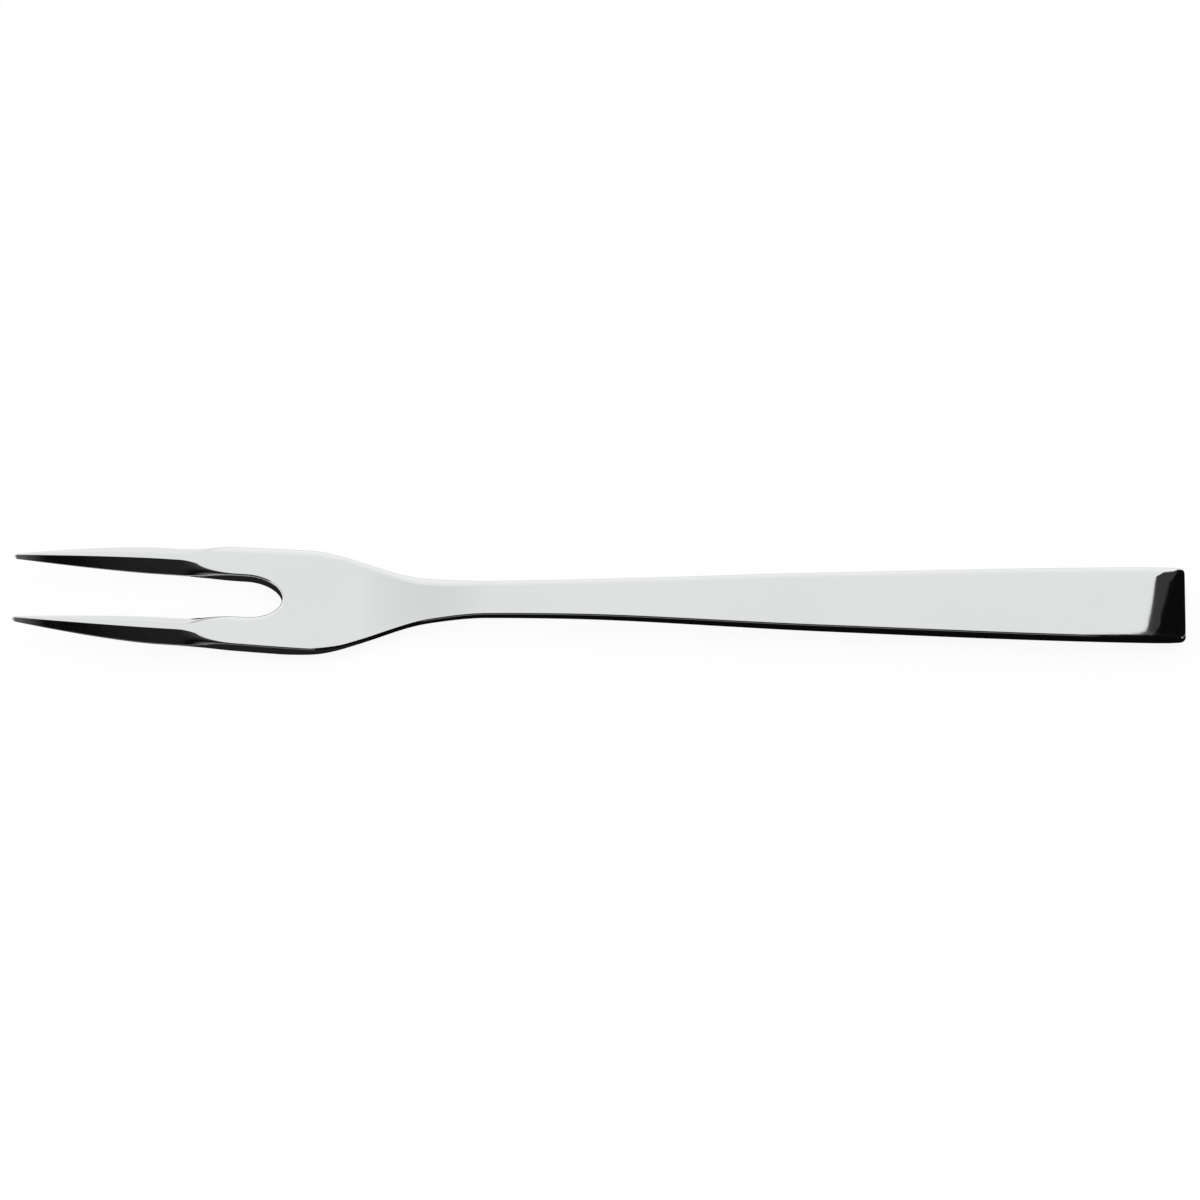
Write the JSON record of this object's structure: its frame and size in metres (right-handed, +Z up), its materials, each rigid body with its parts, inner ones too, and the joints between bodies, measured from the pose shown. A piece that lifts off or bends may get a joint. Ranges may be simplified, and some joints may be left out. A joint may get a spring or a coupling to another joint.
{
  "type": "carving fork",
  "caption": "Carving fork in mirror-polished steel: bevelled tapering tines beside a round-ended slot, a waisted crown and a flaring hollow handle, for steadying a roast.",
  "frame": {"origin": "on the surface that the fork lies on, under the middle of its overall length and width", "axes": "+X from the tips of the tines to the end of the handle, +Z up out of the face of the fork"},
  "size_m": [0.26, 0.0262, 0.0084],
  "materials": {
    "polished_steel": "mirror polished stainless steel",
    "hard_solder": "dull as-run silver solder",
    "handle_cement": "matt set cement"
  },
  "bodies": {
    "root": {"fork_head": "polished_steel", "handle_upper_shell": "polished_steel", "handle_lower_shell": "polished_steel", "seam_solder": "hard_solder", "tang_cement": "handle_cement"}
  },
  "joints": []
}
